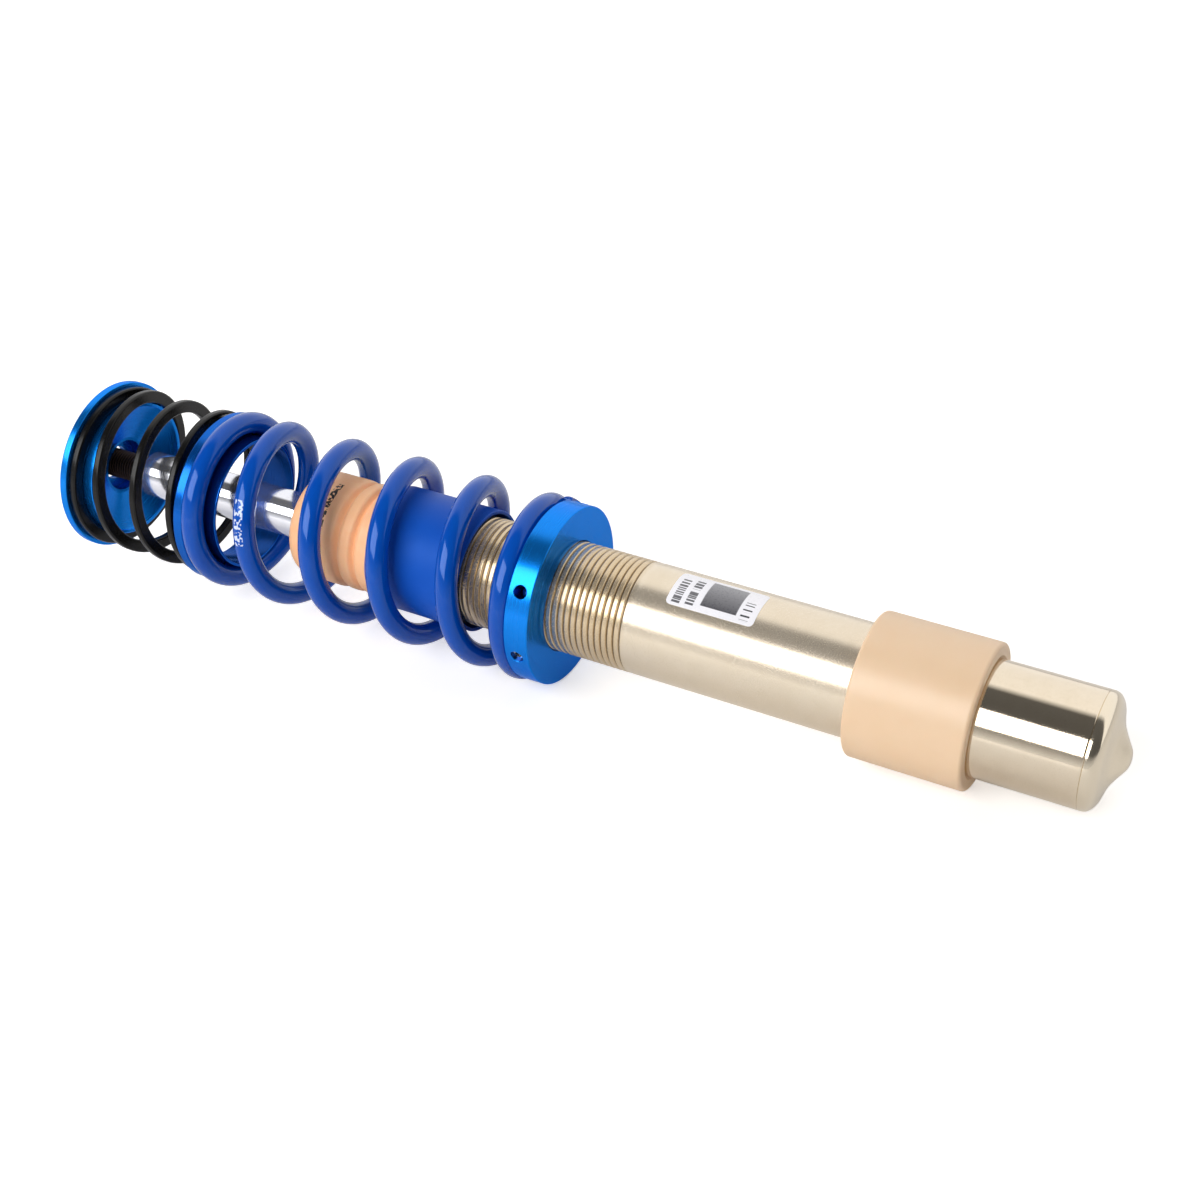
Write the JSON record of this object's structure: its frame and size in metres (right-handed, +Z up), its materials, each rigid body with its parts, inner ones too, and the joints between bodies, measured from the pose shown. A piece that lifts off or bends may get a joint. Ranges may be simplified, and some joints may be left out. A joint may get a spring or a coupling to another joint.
{
  "type": "coil-over strut",
  "caption": "Coil-over strut with a threaded tube, screw-adjusted spring perch, main and helper springs, bump stop, dust sleeve and a smooth lower end for a knuckle clamp.",
  "frame": {"origin": "on the strut axis at the middle of the plastic knuckle sleeve", "axes": "+X along the strut axis towards its closed lower end, the piston rod stud points to -X; +Z up as it lies"},
  "size_m": [0.5275, 0.0848, 0.0848],
  "materials": {
    "plated_tube": "pale gold zinc plating, brushed, rolled thread",
    "plated_cap": "pale gold zinc plating, polished",
    "sleeve_plastic": "satin tan engineering plastic",
    "label_foil": "white self-adhesive foil",
    "blue_anodised": "machined and anodised blue, satin",
    "screw_steel": "bright zinc",
    "pad_plastic": "natural nylon",
    "blue_powder_coat": "gloss royal blue powder coat",
    "black_coat": "semi-gloss black coat",
    "rod_chrome": "polished hard chrome",
    "bump_foam": "salmon polyurethane foam",
    "dust_plastic": "matt blue plastic",
    "gland_steel": "phosphated steel",
    "black_rubber": "nitrile rubber",
    "sintered_steel": "sintered steel",
    "bush_bronze": "bronze backed lining",
    "inner_steel": "drawn bare steel",
    "band_plastic": "filled fluoroplastic",
    "shim_steel": "spring steel"
  },
  "bodies": {
    "strut_body": {"strut_tube": "plated_tube", "tube_end_cap": "plated_cap", "knuckle_sleeve": "sleeve_plastic", "type_label": "label_foil", "gland_nut": "gland_steel", "rod_wiper": "black_rubber", "rod_seal": "black_rubber", "gland_o_ring": "black_rubber", "rod_guide": "sintered_steel", "guide_bush": "bush_bronze", "working_cylinder": "inner_steel", "foot_valve": "sintered_steel", "foot_valve_shims": "shim_steel", "foot_valve_screw": "gland_steel"},
    "spring_stack": {"main_spring": "blue_powder_coat"},
    "perch": {"spring_perch": "blue_anodised", "perch_set_screw": "screw_steel", "set_screw_pad": "pad_plastic"},
    "coupler": {"spring_coupler": "blue_anodised", "helper_spring": "black_coat"},
    "upper_plate": {"upper_spring_plate": "blue_anodised"},
    "rod_slider": {"piston_band": "band_plastic"},
    "rod": {"piston_rod": "rod_chrome", "piston": "sintered_steel", "piston_shims": "shim_steel", "piston_nut": "gland_steel", "rebound_stop": "black_rubber"},
    "bump": {"bump_stop": "bump_foam", "dust_sleeve": "dust_plastic"}
  },
  "joints": [
    {"name": "perch_travel", "type": "slide", "parent": "strut_body", "child": "spring_stack", "axis": [-1, 0, 0], "range_m": [-0.023, 0.023]},
    {"name": "perch_turn", "type": "hinge", "parent": "spring_stack", "child": "perch", "pos_m": [-0.17, 0, 0], "axis": [-1, 0, 0], "range_deg": [-2761, 2761]},
    {"name": "main_spring_travel", "type": "slide", "parent": "spring_stack", "child": "coupler", "axis": [1, 0, 0], "range_m": [0, 0.09], "stiffness_N_per_m": 30000, "deforming": ["main_spring"]},
    {"name": "helper_spring_travel", "type": "slide", "parent": "coupler", "child": "upper_plate", "axis": [1, 0, 0], "range_m": [0, 0.023], "stiffness_N_per_m": 2000, "deforming": ["helper_spring"]},
    {"name": "damper_stroke", "type": "slide", "parent": "strut_body", "child": "rod_slider", "axis": [1, 0, 0], "range_m": [0, 0.09]},
    {"name": "rod_turn", "type": "hinge", "parent": "rod_slider", "child": "rod", "pos_m": [-0.2, 0, 0], "axis": [1, 0, 0], "continuous": true},
    {"name": "bump_stop_slide", "type": "slide", "parent": "strut_body", "child": "bump", "axis": [1, 0, 0], "range_m": [-0.03, 0]}
  ],
  "couplings": [
    {"joint": "perch_turn", "follows": "perch_travel", "rad_per_m": 2094.4},
    {"joint": "main_spring_travel", "follows": "damper_stroke", "ratio": 1}
  ]
}
